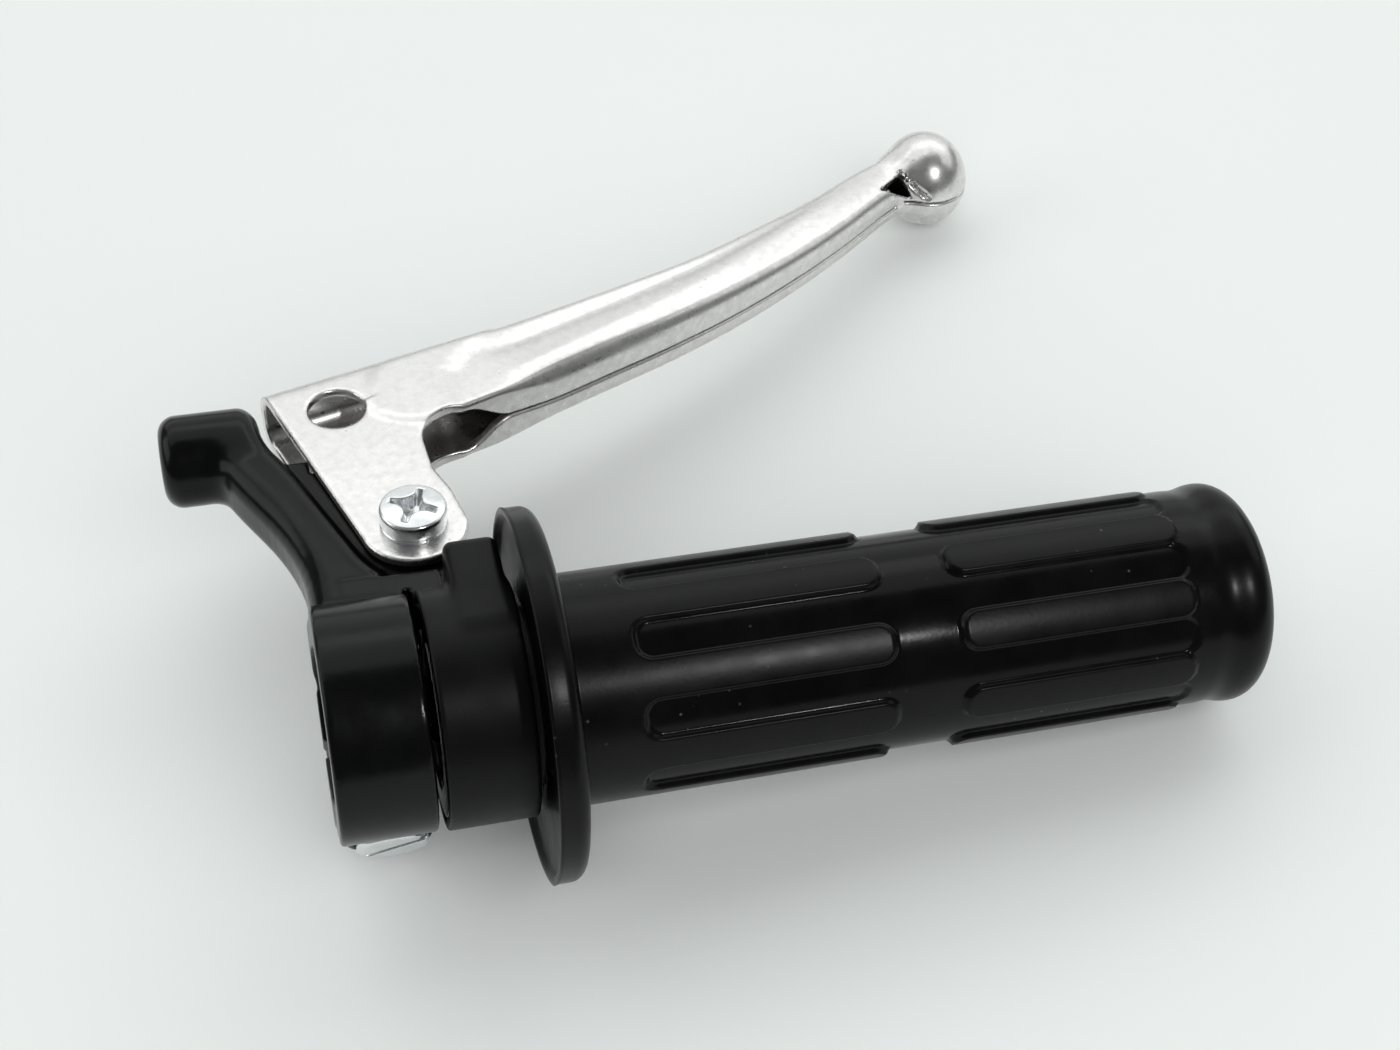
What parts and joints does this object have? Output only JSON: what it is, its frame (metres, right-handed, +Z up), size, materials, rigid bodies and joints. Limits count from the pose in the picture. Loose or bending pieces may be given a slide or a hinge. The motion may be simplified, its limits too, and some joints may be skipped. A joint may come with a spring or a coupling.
{
  "type": "twist throttle control",
  "caption": "Right-hand twist throttle for a moped handlebar: split clamp, ribbed rubber grip with a guard disc, and a bright stamped brake lever with a ball end.",
  "frame": {"origin": "centre of the clamp's bore, midway along the clamp band", "axes": "+X along the handlebar to the grip's outer end, +Y forward to the lever, +Z up, normal to the lever's plates"},
  "size_m": [0.1545, 0.1482, 0.0532],
  "materials": {
    "enamel": "semi-gloss black enamel on a casting",
    "cover_plastic": "moulded, fine matte grain",
    "tube_plastic": "moulded",
    "rubber": "semi-gloss black rubber, pads matte",
    "bright_lever": "bright plated sheet with fine pits",
    "zinc": "bright zinc plate"
  },
  "bodies": {
    "housing": {"clamp_housing": "enamel", "drum_cover": "cover_plastic", "pivot_screw": "zinc", "pivot_bush": "zinc", "pivot_washer": "zinc", "pivot_nut": "zinc", "clamp_screw": "zinc", "clamp_nut": "zinc"},
    "throttle": {"throttle_tube": "tube_plastic", "grip_rubber": "rubber"},
    "lever": {"brake_lever": "bright_lever"}
  },
  "joints": [
    {"name": "throttle_twist", "type": "hinge", "parent": "housing", "child": "throttle", "pos_m": [0.07, 0, 0], "axis": [1, 0, 0], "range_deg": [0, 80]},
    {"name": "lever_pivot", "type": "hinge", "parent": "housing", "child": "lever", "pos_m": [0.0104, 0.0307, 0.0016], "axis": [0, 0, -1], "range_deg": [0, 26]}
  ]
}
